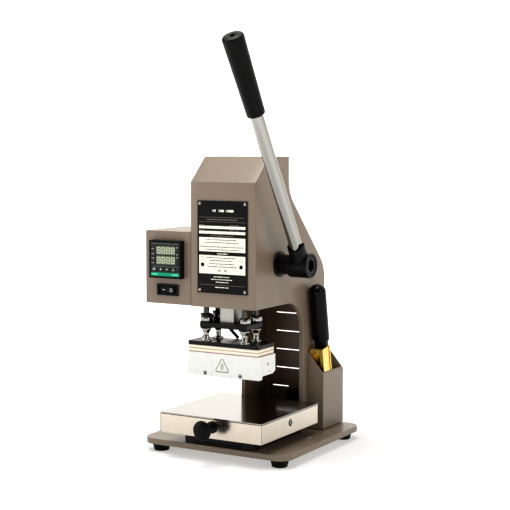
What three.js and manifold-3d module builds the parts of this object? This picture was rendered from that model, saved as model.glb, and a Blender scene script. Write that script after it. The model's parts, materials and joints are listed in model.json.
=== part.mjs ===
// Tabletop hot-foil printing press: a hollow C-frame on a square base, a rack-and-pinion ram worked
// by a side lever, a heated head, a pull-out work table, a temperature control box and a tool pocket.
// Millimetres, +Z up, +X to the operator's right, +Y away from the operator. While it is being built
// the frame's middle plane is x = 0, its front face is y = 0 and the bench top is z = 0.
import * as THREE from 'three';
import { mergeVertices } from 'three/addons/utils/BufferGeometryUtils.js';
import Module from 'manifold-3d';

const wasm = await Module();
wasm.setup();

// ---------------------------------------------------------------- driving dimensions
const GAP = 0.3;                                     // between pieces that rest on each other

const FOOT = { height: 10.5, topRadius: 12.6, bottomRadius: 9.8, inset: 18.5 };
const BASE = { left: -113.5, right: 97.5, front: -14, back: 198, corner: 18, thick: 7.5 };
const BENCH_HOLE = { inset: 20, radius: 2.7, sinkRadius: 5.7, sinkDepth: 3 };
const BASE_TOP = FOOT.height + BASE.thick;

const FRAME = {                                      // the C-frame's side profile
  width: 94, plate: 6, sheet: 2,
  headBottom: 190, bendZ: 346, slantDepth: 33, top: 377.4, topBack: 84.5,
  columnFront: 124.5, columnBack: 185.3, throatRadius: 41, slopeSum: 416, slopeRadius: 40,
};
const HALF = FRAME.width / 2;
const INSIDE = HALF - FRAME.plate;                   // inner face of each side plate
const COVER_HALF = INSIDE - GAP;

const SLOT = { height: 1.4, halfLength: 26, pitch: 25.3, top: 163.6, count: 4 };
const SHORT_SLOT = { left: -31.5, right: -6.7, z: 62 };
const INLET = { x: 14, z: 50, width: 27, height: 19.5, flange: 3.2, depth: 25, recess: 15, wall: 2.2 };

const PRESS_Y = 20;                                  // the ram's centre line
const RAM = { side: 20, bottom: 170.8, top: 331.7, play: 0.3 };

const SHAFT = { y: 59.5, z: 242.8, radius: 8, left: -46.6, right: 84, boreRadius: 8.1 };
const GEAR = { module: 2.5, teeth: 26, width: 16, pressureAngle: 20, play: 0.2 };
const PITCH_RADIUS = GEAR.module * GEAR.teeth / 2;
const RACK = { firstSpace: -3, lastSpace: 8 };       // counted from the shaft's height upwards

const LEVER = { x: 79, lean: 31.8, rodRadius: 8, gripStart: 217, end: 318.8, socketRadius: 11, socketTop: 31 };
const HUB = { left: 64.5, right: 93, radius: 15.5, bossLeft: 50.6, bossRadius: 12.5 };
const SADDLE = { radius: 12, rise: 7.5 };            // scoops out the socket's rim, front and back
const BUSH = { radius: 11, flangeRadius: 16, flange: 3 };

const GUIDE = { front: 2.4, back: 40, thick: 14, lowerZ: 192.5, upperZ: 275, springHole: 7.2 };
const SPRING = { x: 28, radius: 6, wire: 0.9, turns: 10, rodRadius: 3, rodTop: 345 };
const CROSSHEAD = { halfWidth: 36, thick: 8 };

const YOKE = { halfWidth: 34, front: 0.5, back: 39.5, bottom: 164.5, top: 170.5 };
const LEVEL = { x: 28, front: 6.4, back: 34.8, shank: 3, thread: 4, top: 190.7, nutFlats: 13 };

const HEATER = {
  halfWidth: 51, plateTop: 146.6, plateBottom: 141.6, boardBottom: 132.9, blockHalf: 52.5,
  blockTop: 132.6, blockBottom: 108.1, lipBottom: 103.7, back: 40, frontPlate: 8.2,
  screwX: 25.6, screwZ: 107.1, screwRadius: 2.3,
};
const CARTRIDGE = { radius: 5, z: 121.5, frontY: 16, backY: 31, proud: 3, endWall: 6 };
const EARTH_HOLE = { radius: 2, y: 21.5, z: 121.5, depth: 5 };     // on the block's right end
const WIRE_HOLE = { radius: 8, y: 30, z: 262 };      // from the control box into the head

const TABLE = { halfWidth: 73.5, front: -30.3, back: 117.3, top: 58.1, bottom: 32.1, sheet: 1.5 };
const BED = { halfWidth: 49.5, front: -10, back: 112, top: 31.2, slotHalf: 34, mouthHalf: 28, lipZ: 25.2 };
const KNOB = { x: 3, z: 46.5, length: 26, radius: 12.4, neck: 7.5 };

const BOX = { left: -115, right: -HALF - GAP, back: 95, bottom: 190.5, top: 283.4, wall: 1.5 };
const CONTROLLER = { x: -80.6, z: 247.8, bezel: 48, proud: 8.5, body: 45, depth: 72, recess: 3.2 };
const SWITCH = {
  x: -81.2, z: 208.6, width: 32, height: 14.4, bodyWidth: 27.6, bodyHeight: 11.6, proud: 2.3,
  depth: 17, tilt: -8,
};
const KEY = { width: 7, height: 4.6, belowTop: 36.6, spots: [7.7, 17.5, 27.2, 36.8] };
const DISPLAY = { left: 10.2, right: 40, top: 6.6, bottom: 31 };

const PLATE = { halfWidth: 36, bottom: 208.3, top: 323.2, thick: 1.2 };

const POCKET = { out: 70.8, front: 136.9, back: 195.9, bottom: 19, outerTop: 92.6, innerTop: 120.6, wall: 2 };
const HOLDER = {
  x: 58.9, footY: 167.4, footZ: 23.2, lean: 10, width: 19.2, depth: 22, length: 105,
  channel: 10, channelDepth: 11, channelEnd: 4.5, jaw: 4, jawTop: 81, screwHeights: [24, 66],
  handleRadius: 11.2, handleLength: 84,
};

// ---------------------------------------------------------------- geometry helpers
const rad = THREE.MathUtils.degToRad;

function toSolid(geometry) {
  const bare = geometry.clone();
  bare.deleteAttribute('normal');
  bare.deleteAttribute('uv');
  const merged = mergeVertices(bare, 1e-5);
  const vertProperties = new Float32Array(merged.attributes.position.array);
  const triVerts = new Uint32Array(merged.index.array);
  return new wasm.Manifold(new wasm.Mesh({ numProp: 3, vertProperties, triVerts }));
}

function toGeometry(solid) {
  const mesh = solid.getMesh();
  const geometry = new THREE.BufferGeometry();
  geometry.setAttribute('position', new THREE.BufferAttribute(mesh.vertProperties, 3));
  geometry.setIndex(new THREE.BufferAttribute(mesh.triVerts, 1));
  geometry.computeVertexNormals();
  return geometry;
}

function box(x0, x1, y0, y1, z0, z1) {
  const geometry = new THREE.BoxGeometry(x1 - x0, y1 - y0, z1 - z0);
  geometry.translate((x0 + x1) / 2, (y0 + y1) / 2, (z0 + z1) / 2);
  return toSolid(geometry);
}

// A cylinder or cone frustum between two points, with the first radius at the first point.
function rod(from, to, radius, endRadius = radius, sides = 32) {
  const a = new THREE.Vector3(...from);
  const b = new THREE.Vector3(...to);
  const span = new THREE.Vector3().subVectors(b, a);
  const geometry = new THREE.CylinderGeometry(endRadius, radius, span.length(), sides);
  const turn = new THREE.Quaternion().setFromUnitVectors(new THREE.Vector3(0, 1, 0), span.normalize());
  geometry.applyQuaternion(turn);
  geometry.translate((a.x + b.x) / 2, (a.y + b.y) / 2, (a.z + b.z) / 2);
  return toSolid(geometry);
}

const alongX = (x0, x1, radius, y, z, sides) => rod([x0, y, z], [x1, y, z], radius, radius, sides);
const alongY = (y0, y1, radius, x, z, sides) => rod([x, y0, z], [x, y1, z], radius, radius, sides);
const alongZ = (z0, z1, radius, x, y, sides) => rod([x, y, z0], [x, y, z1], radius, radius, sides);

function extrude(shape, depth, curveSegments = 8) {
  return new THREE.ExtrudeGeometry(shape, { depth, bevelEnabled: false, curveSegments });
}

// Extrudes an outline drawn in (y, z) from x0 to x1.
function prismX(shape, x0, x1, curveSegments) {
  const geometry = extrude(shape, x1 - x0, curveSegments);
  const basis = new THREE.Matrix4().makeBasis(
    new THREE.Vector3(0, 1, 0), new THREE.Vector3(0, 0, 1), new THREE.Vector3(1, 0, 0));
  geometry.applyMatrix4(basis);
  geometry.translate(x0, 0, 0);
  return toSolid(geometry);
}

// Extrudes an outline drawn in (x, y) from z0 to z1.
function prismZ(shape, z0, z1, curveSegments) {
  const geometry = extrude(shape, z1 - z0, curveSegments);
  geometry.translate(0, 0, z0);
  return toSolid(geometry);
}

// A turned piece: the profile's points are (radius, height), and its axis runs from a point along a
// direction.
function turned(profile, from, direction, sides = 32) {
  const points = profile.map(([radius, height]) => new THREE.Vector2(radius, height));
  const geometry = new THREE.LatheGeometry(points, sides);
  const axis = new THREE.Vector3(...direction).normalize();
  geometry.applyQuaternion(new THREE.Quaternion().setFromUnitVectors(new THREE.Vector3(0, 1, 0), axis));
  geometry.translate(...from);
  const solid = toSolid(geometry);
  return solid.volume() < 0 ? toSolid(flipped(geometry)) : solid;
}

function flipped(geometry) {
  const copy = geometry.clone();
  const index = copy.index.array;
  for (let i = 0; i < index.length; i += 3) [index[i], index[i + 2]] = [index[i + 2], index[i]];
  return copy;
}

function polygon(points) {
  return new THREE.Shape(points.map(([x, y]) => new THREE.Vector2(x, y)));
}

function roundedRectangle(x0, x1, y0, y1, radius) {
  const shape = new THREE.Shape();
  shape.moveTo(x0 + radius, y0);
  shape.absarc(x1 - radius, y0 + radius, radius, -Math.PI / 2, 0);
  shape.absarc(x1 - radius, y1 - radius, radius, 0, Math.PI / 2);
  shape.absarc(x0 + radius, y1 - radius, radius, Math.PI / 2, Math.PI);
  shape.absarc(x0 + radius, y0 + radius, radius, Math.PI, Math.PI * 1.5);
  return shape;
}

// A strip of sheet metal: the path is its outer face, and its thickness lies to the path's right.
function sheetStrip(path, thick) {
  const inner = path.map((point, i) => {
    const before = path[Math.max(i - 1, 0)];
    const after = path[Math.min(i + 1, path.length - 1)];
    const inDirection = new THREE.Vector2().subVectors(point, i ? before : point);
    const outDirection = new THREE.Vector2().subVectors(i < path.length - 1 ? after : point, point);
    const first = (i ? inDirection : outDirection).normalize();
    const second = (i < path.length - 1 ? outDirection : first.clone()).normalize();
    const normal = new THREE.Vector2(first.y + second.y, -first.x - second.x).normalize();
    const reach = thick / Math.max(normal.dot(new THREE.Vector2(first.y, -first.x)), 0.3);
    return new THREE.Vector2().addVectors(point, normal.multiplyScalar(reach));
  });
  return new THREE.Shape([...path, ...inner.reverse()]);
}

// ---------------------------------------------------------------- materials
const finish = (color, roughness, metalness) => ({ color, roughness, metalness });
const TAUPE = finish(0x8d8074, 0.55, 0.1);
const BLACK_STEEL = finish(0x17161a, 0.45, 0.4);
const BLACK_PLASTIC = finish(0x141416, 0.4, 0);
const RUBBER = finish(0x18181a, 0.8, 0);
const CHROME = finish(0xd8dadc, 0.12, 1);
const STEEL = finish(0x9fa09c, 0.35, 0.9);
const STAINLESS = finish(0xd2cfc8, 0.18, 1);
const BRASS = finish(0xd8a63e, 0.25, 1);
const BRONZE = finish(0xa87c44, 0.4, 0.9);
const WHITE_ENAMEL = finish(0xf1f1ee, 0.35, 0.05);
const BOARD = finish(0xe6d8bd, 0.8, 0);
const LABEL = finish(0x121213, 0.3, 0);
const FACE_BLACK = finish(0x1d2120, 0.35, 0);
const LENS = finish(0xc7cfb8, 0.2, 0);

const group = new THREE.Group();

function add(name, solid, look, parent = group) {
  const mesh = new THREE.Mesh(toGeometry(solid), new THREE.MeshStandardMaterial(look));
  mesh.name = name;
  parent.add(mesh);
  return mesh;
}

// ---------------------------------------------------------------- base and feet
function footPlaces() {
  const { inset } = FOOT;
  return {
    foot_front_left: [BASE.left + inset, BASE.front + inset],
    foot_front_right: [BASE.right - inset, BASE.front + inset],
    foot_back_left: [BASE.left + inset, BASE.back - inset],
    foot_back_right: [BASE.right - inset, BASE.back - inset],
  };
}

function makeBase() {
  const outline = roundedRectangle(BASE.left, BASE.right, BASE.front, BASE.back, BASE.corner);
  let plate = prismZ(outline, FOOT.height, BASE_TOP, 8);
  const middleY = (BASE.front + BASE.back) / 2;
  const { inset, radius, sinkRadius, sinkDepth } = BENCH_HOLE;
  for (const x of [BASE.left + inset, BASE.right - inset]) {
    const sinkTop = BASE_TOP + 0.4;
    const sink = rod([x, middleY, sinkTop - sinkDepth], [x, middleY, sinkTop], radius, sinkRadius, 20);
    plate = plate.subtract(alongZ(FOOT.height - 1, BASE_TOP + 1, radius, x, middleY, 20)).subtract(sink);
  }
  add('base_plate', plate, TAUPE);
  for (const [name, [x, y]] of Object.entries(footPlaces())) {
    const { bottomRadius: low, topRadius: high } = FOOT;
    const top = FOOT.height - GAP;
    const profile = [[0, 0], [low - 0.8, 0], [low, 0.8], [low + 1.6, 5], [high, top], [0, top]];
    add(name, turned(profile, [x, y, 0], [0, 0, 1], 28), RUBBER);
  }
}

// ---------------------------------------------------------------- C-frame
// The frame's back edge from the top down: vertical, concave bend, 45 degree slope, convex bend, vertical.
function backEdge(topZ, bottomZ) {
  const { topBack, columnBack, slopeSum, slopeRadius: r } = FRAME;
  const tangent = r * Math.tan(rad(22.5));
  const upper = new THREE.Vector2(topBack + r, slopeSum - topBack + tangent);
  const lower = new THREE.Vector2(columnBack - r, slopeSum - columnBack - tangent);
  const points = [new THREE.Vector2(topBack, topZ)];
  const steps = 5;
  for (let i = 0; i <= steps; i++) {
    const a = rad(180 + 45 * i / steps);
    points.push(new THREE.Vector2(upper.x + r * Math.cos(a), upper.y + r * Math.sin(a)));
  }
  for (let i = 0; i <= steps; i++) {
    const a = rad(45 - 45 * i / steps);
    points.push(new THREE.Vector2(lower.x + r * Math.cos(a), lower.y + r * Math.sin(a)));
  }
  points.push(new THREE.Vector2(columnBack, bottomZ));
  return points;
}

function sideOutline() {
  const { headBottom, bendZ, slantDepth, top, columnFront, throatRadius: r } = FRAME;
  const bottom = BASE_TOP + GAP;
  const points = [new THREE.Vector2(columnFront, bottom)];
  const steps = 8;
  for (let i = 0; i <= steps; i++) {
    const a = rad(90 * i / steps);
    points.push(new THREE.Vector2(columnFront - r + r * Math.cos(a), headBottom - r + r * Math.sin(a)));
  }
  for (const [y, z] of [[0, headBottom], [0, bendZ], [slantDepth, top]]) points.push(new THREE.Vector2(y, z));
  return new THREE.Shape([...points, ...backEdge(top, bottom)]);
}

function makeFrame() {
  const bushHole = alongX(-HALF - 1, HALF + 1, BUSH.radius + GAP, SHAFT.y, SHAFT.z);
  const wireHole = alongX(-HALF - 1, -INSIDE + 1, WIRE_HOLE.radius, WIRE_HOLE.y, WIRE_HOLE.z, 20);
  const left = prismX(sideOutline(), -HALF, -INSIDE).subtract(bushHole).subtract(wireHole);
  add('left_side_plate', left, TAUPE);
  add('right_side_plate', prismX(sideOutline(), INSIDE, HALF).subtract(bushHole), TAUPE);

  const { headBottom, bendZ, slantDepth, top, topBack, sheet } = FRAME;
  const frontPath = [[0, headBottom], [0, bendZ], [slantDepth, top], [topBack, top]];
  const frontStrip = sheetStrip(frontPath.map(([y, z]) => new THREE.Vector2(y, z)), sheet);
  add('front_cover', prismX(frontStrip, -COVER_HALF, COVER_HALF), TAUPE);

  const backPath = backEdge(top - sheet - GAP, BASE_TOP + GAP);
  let back = prismX(sheetStrip(backPath, sheet), -COVER_HALF, COVER_HALF);
  const cutOut = (left, right, z, height) => {
    const faces = [FRAME.columnBack - sheet - 2, FRAME.columnBack + 2];
    back = back.subtract(box(left, right, ...faces, z - height / 2, z + height / 2));
  };
  for (let i = 0; i < SLOT.count; i++) {
    cutOut(-SLOT.halfLength, SLOT.halfLength, SLOT.top - i * SLOT.pitch, SLOT.height);
  }
  cutOut(SHORT_SLOT.left, SHORT_SLOT.right, SHORT_SLOT.z, SLOT.height);
  const inletHalf = INLET.width / 2 + GAP;
  cutOut(INLET.x - inletHalf, INLET.x + inletHalf, INLET.z, INLET.height + GAP * 2);
  add('back_panel', back, TAUPE);
}

function makeInlet() {
  const { x, z, width, height, flange, depth, recess, wall } = INLET;
  const face = FRAME.columnBack + GAP;
  const outer = face + flange;
  const w = width / 2;
  const h = height / 2;
  let inlet = box(x - w - 2, x + w + 2, face, outer, z - h - 2, z + h + 2);
  inlet = inlet.add(box(x - w, x + w, outer - depth, outer - 1, z - h, z + h));
  const socket = box(x - w + wall, x + w - wall, outer - recess, outer + 1, z - h + wall, z + h - wall);
  inlet = inlet.subtract(socket);
  add('power_inlet', inlet, BLACK_PLASTIC);
}

function makeNamePlate() {
  const { halfWidth, bottom, top, thick } = PLATE;
  add('name_plate', box(-halfWidth, halfWidth, -thick - GAP, -GAP, bottom, top), LABEL);
}

// ---------------------------------------------------------------- rack, pinion and ram
// Flank of an involute tooth as [radius, half angle of the tooth at that radius].
function flankPoints(steps) {
  const base = PITCH_RADIUS * Math.cos(rad(GEAR.pressureAngle));
  const involute = (r) => {
    const a = Math.acos(Math.min(1, base / r));
    return Math.tan(a) - a;
  };
  const halfAtPitch = Math.PI / (2 * GEAR.teeth) - GEAR.play / 2 / PITCH_RADIUS;
  const tip = PITCH_RADIUS + GEAR.module;
  const points = [];
  for (let i = 0; i <= steps; i++) {
    const r = base + (tip - base) * i / steps;
    points.push([r, halfAtPitch + involute(PITCH_RADIUS) - involute(r)]);
  }
  return points;
}

// The gear's outline in (y, z) about the shaft, with one tooth centred on the side of the ram.
function gearShape() {
  const flank = flankPoints(2);
  const root = PITCH_RADIUS - 1.25 * GEAR.module;
  const pitchAngle = 2 * Math.PI / GEAR.teeth;
  const shape = [];
  const put = (r, a) => shape.push(new THREE.Vector2(SHAFT.y + r * Math.cos(a), SHAFT.z + r * Math.sin(a)));
  for (let i = 0; i < GEAR.teeth; i++) {
    const centre = Math.PI + i * pitchAngle;
    put(root, centre - flank[0][1] - 0.012);
    for (const [r, half] of flank) put(r, centre - half);
    for (const [r, half] of [...flank].reverse()) put(r, centre + half);
    put(root, centre + flank[0][1] + 0.012);
  }
  return new THREE.Shape(shape);
}

function makeRam() {
  const half = RAM.side / 2;
  const back = PRESS_Y + half;
  let ram = box(-half, half, PRESS_Y - half, back, RAM.bottom, RAM.top);
  const pitchLine = SHAFT.y - PITCH_RADIUS;
  const tip = pitchLine + GEAR.module;
  const root = pitchLine - 1.25 * GEAR.module;
  const pitch = Math.PI * GEAR.module;
  const slope = Math.tan(rad(GEAR.pressureAngle));
  const spaceHalf = (y) => pitch / 4 + GEAR.play / 2 + (y - pitchLine) * slope;
  for (let i = RACK.firstSpace; i <= RACK.lastSpace; i++) {
    const z = SHAFT.z + i * pitch;
    const space = polygon([
      [root, z - spaceHalf(root)], [back + 1, z - spaceHalf(back + 1)],
      [back + 1, z + spaceHalf(back + 1)], [root, z + spaceHalf(root)],
    ]);
    ram = ram.subtract(prismX(space, -half - 1, half + 1));
  }
  const ends = [SHAFT.z + (RACK.firstSpace - 0.5) * pitch, SHAFT.z + (RACK.lastSpace + 0.5) * pitch];
  ram = ram.subtract(box(-half - 1, half + 1, tip, back + 1, ...ends));
  add('ram_bar', ram, STEEL);
}

function makeGuides() {
  const { front, back, thick, lowerZ, upperZ, springHole } = GUIDE;
  const half = RAM.side / 2 + RAM.play;
  const guide = (z) => box(-COVER_HALF, COVER_HALF, front, back, z, z + thick)
    .subtract(box(-half, half, PRESS_Y - half, PRESS_Y + half, z - 1, z + thick + 1));
  let lower = guide(lowerZ);
  let upper = guide(upperZ);
  for (const x of [-SPRING.x, SPRING.x]) {
    lower = lower.add(alongZ(lowerZ + 1, SPRING.rodTop, SPRING.rodRadius, x, PRESS_Y, 16));
    upper = upper.subtract(alongZ(upperZ - 1, upperZ + thick + 1, springHole, x, PRESS_Y, 24));
  }
  add('lower_ram_guide', lower, BLACK_STEEL);
  add('upper_ram_guide', upper, BLACK_STEEL);
}

function makeReturnSprings() {
  const low = GUIDE.lowerZ + GUIDE.thick + GAP;
  const high = RAM.top;
  const { x: side, radius, wire, turns } = SPRING;
  const coil = radius - wire;
  class Helix extends THREE.Curve {
    constructor(x) {
      super();
      this.x = x;
    }
    getPoint(t, target = new THREE.Vector3()) {
      const a = 2 * Math.PI * turns * t;
      const z = low + wire * 1.2 + (high - low - wire * 2.4) * t;
      return target.set(this.x + coil * Math.cos(a), PRESS_Y + coil * Math.sin(a), z);
    }
  }
  const section = new THREE.Shape();
  const sides = 5;
  for (let i = 0; i < sides; i++) {
    const a = 2 * Math.PI * i / sides;
    section[i ? 'lineTo' : 'moveTo'](wire * Math.cos(a), wire * Math.sin(a));
  }
  for (const [name, x] of [['return_spring_left', -side], ['return_spring_right', side]]) {
    const geometry = new THREE.ExtrudeGeometry(section, {
      steps: turns * 8, extrudePath: new Helix(x), bevelEnabled: false,
    });
    add(name, toSolid(geometry), STEEL);
  }
}

function makeCrosshead() {
  const { halfWidth, thick } = CROSSHEAD;
  const half = RAM.side / 2;
  const bottom = RAM.top + GAP;
  let bar = box(-halfWidth, halfWidth, PRESS_Y - half, PRESS_Y + half, bottom, bottom + thick);
  bar = bar.add(alongZ(bottom + thick - 1, bottom + thick + 5, 6.5, 0, PRESS_Y, 24));
  for (const x of [-SPRING.x, SPRING.x]) {
    bar = bar.subtract(alongZ(bottom - 1, bottom + thick + 1, SPRING.rodRadius + 0.5, x, PRESS_Y, 16));
  }
  add('spring_crosshead', bar, BLACK_STEEL);
}

// ---------------------------------------------------------------- shaft and lever
function makeShaft() {
  const { y, z, radius, left, right, boreRadius } = SHAFT;
  add('lever_shaft', alongX(left, right, radius, y, z), STEEL);
  const gear = prismX(gearShape(), -GEAR.width / 2, GEAR.width / 2)
    .add(alongX(-GEAR.width, GEAR.width, 14, y, z))
    .subtract(alongX(-GEAR.width - 1, GEAR.width + 1, radius + GAP, y, z));
  add('drive_pinion', gear, STEEL);

  const bore = alongX(-HALF - 10, HALF + 10, boreRadius, y, z);
  const outside = HALF + GAP;
  const rightBush = alongX(INSIDE - 2, outside + 0.1, BUSH.radius, y, z)
    .add(alongX(outside, outside + BUSH.flange, BUSH.flangeRadius, y, z)).subtract(bore);
  add('shaft_bush_right', rightBush, BLACK_STEEL);
  const inside = -INSIDE + GAP;
  const leftBush = alongX(-HALF, inside + 0.1, BUSH.radius, y, z)
    .add(alongX(inside, inside + BUSH.flange, BUSH.flangeRadius, y, z)).subtract(bore);
  add('shaft_bush_left', leftBush, BRONZE);
}

function makeLever() {
  const { x, lean, rodRadius, gripStart, end, socketRadius, socketTop } = LEVER;
  const up = [0, -Math.sin(rad(lean)), Math.cos(rad(lean))];
  const at = (distance) => [x, SHAFT.y + up[1] * distance, SHAFT.z + up[2] * distance];

  const { left, right, radius, bossLeft, bossRadius } = HUB;
  const capStart = SHAFT.right + GAP;
  const saddle = at(socketTop + SADDLE.rise);
  const across = [0, Math.cos(rad(lean)) * 20, Math.sin(rad(lean)) * 20];
  const saddleEnds = [-1, 1].map((side) => saddle.map((value, i) => value + side * across[i]));
  const hub = alongX(left, right, radius, SHAFT.y, SHAFT.z)
    .add(alongX(bossLeft, left + 1, bossRadius, SHAFT.y, SHAFT.z))
    .add(rod(at(0), at(socketTop), socketRadius))
    .subtract(alongX(bossLeft - 1, right + 1, SHAFT.radius + GAP, SHAFT.y, SHAFT.z))
    .subtract(alongX(capStart, right + 1, bossRadius, SHAFT.y, SHAFT.z))
    .subtract(rod(at(13), at(socketTop + 1), rodRadius + GAP))
    .subtract(rod(...saddleEnds, SADDLE.radius));
  add('lever_hub', hub, BLACK_STEEL);

  const hexagon = alongX(right - 6, right + 1, 14 / Math.sqrt(3), SHAFT.y, SHAFT.z, 6);
  const cap = alongX(capStart + GAP, right - 0.8, bossRadius - GAP, SHAFT.y, SHAFT.z).subtract(hexagon);
  add('hub_cap_screw', cap, BLACK_STEEL);

  add('lever_rod', rod(at(13.5), at(end - 22), rodRadius), CHROME);

  const length = end - gripStart;
  const grip = turned([
    [0, 0], [10.5, 0], [11.2, 1.2], [11.6, length * 0.4], [13.1, length - 4], [12.5, length - 1],
    [11.4, length], [0, length],
  ], at(gripStart), up)
    .subtract(rod(at(gripStart - 1), at(end - 21), rodRadius + GAP))
    .subtract(rod(at(end - 6), at(end + 1), 3.2, 3.2, 20));
  add('lever_grip', grip, BLACK_PLASTIC);
}

// ---------------------------------------------------------------- heated head
function makeYoke() {
  const { halfWidth, front, back, bottom, top } = YOKE;
  let yoke = box(-halfWidth, halfWidth, front, back, bottom, top);
  const plateZ = HEATER.plateTop + GAP;
  for (const [endName, y] of [['front', LEVEL.front], ['back', LEVEL.back]]) {
    for (const [sideName, x] of [['left', -LEVEL.x], ['right', LEVEL.x]]) {
      yoke = yoke.subtract(alongZ(bottom - 1, top + 1, LEVEL.thread + GAP, x, y, 20));
      const corner = LEVEL.nutFlats / Math.sqrt(3);
      const bolt = alongZ(plateZ, bottom - 4, LEVEL.shank, x, y, 20)
        .add(alongZ(plateZ, plateZ + 3.2, 6.6, x, y, 20))
        .add(rod([x, y, bottom - 6.4], [x, y, bottom - GAP], 4.2, 7, 20))
        .add(alongZ(bottom - 1, LEVEL.top, LEVEL.thread, x, y, 20))
        .add(alongZ(top + GAP, top + 7, corner, x, y, 6));
      add(`level_bolt_${endName}_${sideName}`, bolt, CHROME);
    }
  }
  add('yoke_plate', yoke, BLACK_STEEL);
}

function makeHeater() {
  const h = HEATER;
  add('heater_plate', box(-h.halfWidth, h.halfWidth, 0, h.back, h.plateBottom, h.plateTop), BLACK_STEEL);
  const boardHalf = h.halfWidth - 0.4;
  const boardTop = h.plateBottom - GAP;
  add('insulation_board', box(-boardHalf, boardHalf, 0.3, h.back - 0.3, h.boardBottom, boardTop), BOARD);

  const blockBack = h.back + 0.6;
  const chamfer = polygon([
    [h.frontPlate + GAP, h.blockTop], [h.frontPlate + GAP, h.blockBottom], [blockBack - 7, h.blockBottom],
    [blockBack, h.blockBottom + 3], [blockBack, h.blockTop],
  ]);
  let block = prismX(chamfer, -h.blockHalf, h.blockHalf);
  const { radius, z, frontY, backY, proud, endWall } = CARTRIDGE;
  const boreEnd = h.blockHalf - endWall;
  for (const [name, y] of [['front', frontY], ['back', backY]]) {
    block = block.subtract(alongX(-h.blockHalf - 1, boreEnd, radius + GAP, y, z, 20));
    const cartridge = alongX(-h.blockHalf - proud, boreEnd - 1, radius, y, z, 20);
    add(`cartridge_heater_${name}`, cartridge, STEEL);
  }
  const earth = EARTH_HOLE;
  const earthEnd = h.blockHalf - earth.depth;
  block = block.subtract(alongX(earthEnd, h.blockHalf + 1, earth.radius, earth.y, earth.z, 16));
  add('heater_block', block, WHITE_ENAMEL);

  let front = box(-h.blockHalf, h.blockHalf, -0.5, h.frontPlate, h.lipBottom, h.blockTop);
  for (const [name, x] of [['left', -h.screwX], ['right', h.screwX]]) {
    front = front.subtract(alongY(-2, h.frontPlate + 1, h.screwRadius + GAP, x, h.screwZ, 20));
    const screw = alongY(-0.9, h.frontPlate - 0.4, h.screwRadius, x, h.screwZ, 20)
      .subtract(alongY(-1.5, 1.2, 1.3, x, h.screwZ, 6));
    add(`clamp_screw_${name}`, screw, STEEL);
  }
  add('heater_front_plate', front, WHITE_ENAMEL);
}

// The heater's leads rise behind the yoke into the hollow head and travel with the ram.
function makeLeads() {
  const section = (radius) => {
    const shape = new THREE.Shape();
    shape.absarc(0, 0, radius, 0, 2 * Math.PI);
    return shape;
  };
  const lead = (points, radius, steps) => {
    const route = points.map((p) => new THREE.Vector3(...p));
    const curve = new THREE.CatmullRomCurve3(route, false, 'centripetal');
    const options = { steps, extrudePath: curve, bevelEnabled: false, curveSegments: 4 };
    return toSolid(new THREE.ExtrudeGeometry(section(radius), options));
  };
  const leftEnd = -HEATER.blockHalf - CARTRIDGE.proud - GAP * 3;
  const radius = 2.2;
  add('heater_lead', lead([
    [leftEnd, CARTRIDGE.backY, CARTRIDGE.z], [-59.5, 31.5, 122.5], [-61, 36, 130], [-54, 42.5, 146],
    [-46, 45.5, 158], [-37, 45.5, 172], [-34, 45.5, 200], [-32, 45.5, 250],
  ], radius, 40), BLACK_PLASTIC);
  add('probe_lead', lead([
    [-4, 44.5, HEATER.plateTop + GAP], [-6, 44.5, 149], [-17, 45, 159], [-22, 45.5, 172],
    [-23, 45.5, 200], [-23, 45.5, 250],
  ], radius, 30), BLACK_PLASTIC);
}

// ---------------------------------------------------------------- work table
function makeTable() {
  const { halfWidth: w, front, back, top, bottom, sheet } = TABLE;
  const lid = top - sheet;
  const inset = 0.4;
  const hollow = inset + sheet;
  const pan = box(-w + inset, w - inset, front + inset, back - inset, bottom, lid - GAP)
    .subtract(box(-w + hollow, w - hollow, front + hollow, back - hollow, bottom + sheet, top));
  add('table_pan', pan, STAINLESS);
  add('table_top', box(-w, w, front, back, lid, top), STAINLESS);

  const b = BED;
  const floor = BASE_TOP + GAP;
  const slotFloor = floor + 3;
  const bed = box(-b.halfWidth, b.halfWidth, b.front, b.back, floor, b.top)
    .subtract(box(-b.slotHalf, b.slotHalf, b.front - 1, b.back - 4, slotFloor, b.lipZ))
    .subtract(box(-b.mouthHalf, b.mouthHalf, b.front - 1, b.back - 4, slotFloor, b.top + 1));
  add('slide_bed', bed, BLACK_STEEL);
  const tongueBack = b.back - 4 - GAP * 2;
  const tongue = box(-b.slotHalf + GAP, b.slotHalf - GAP, b.front, tongueBack, slotFloor + GAP, b.lipZ - GAP)
    .add(box(-b.mouthHalf + GAP, b.mouthHalf - GAP, b.front, tongueBack, slotFloor + 1, bottom - GAP));
  add('slide_tongue', tongue, BLACK_STEEL);

  const { x, z, length, radius, neck } = KNOB;
  const knob = turned([
    [0, 0], [neck, 0], [neck, 1.6], [5.4, 2.4], [5.2, 8], [7.2, 13], [radius - 1.2, 19.5], [radius, 22],
    [radius - 1, 24.2], [radius - 5, 25.6], [0, length],
  ], [x, front + inset - GAP, z], [0, -1, 0]);
  add('table_knob', knob, BLACK_PLASTIC);
}

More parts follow.
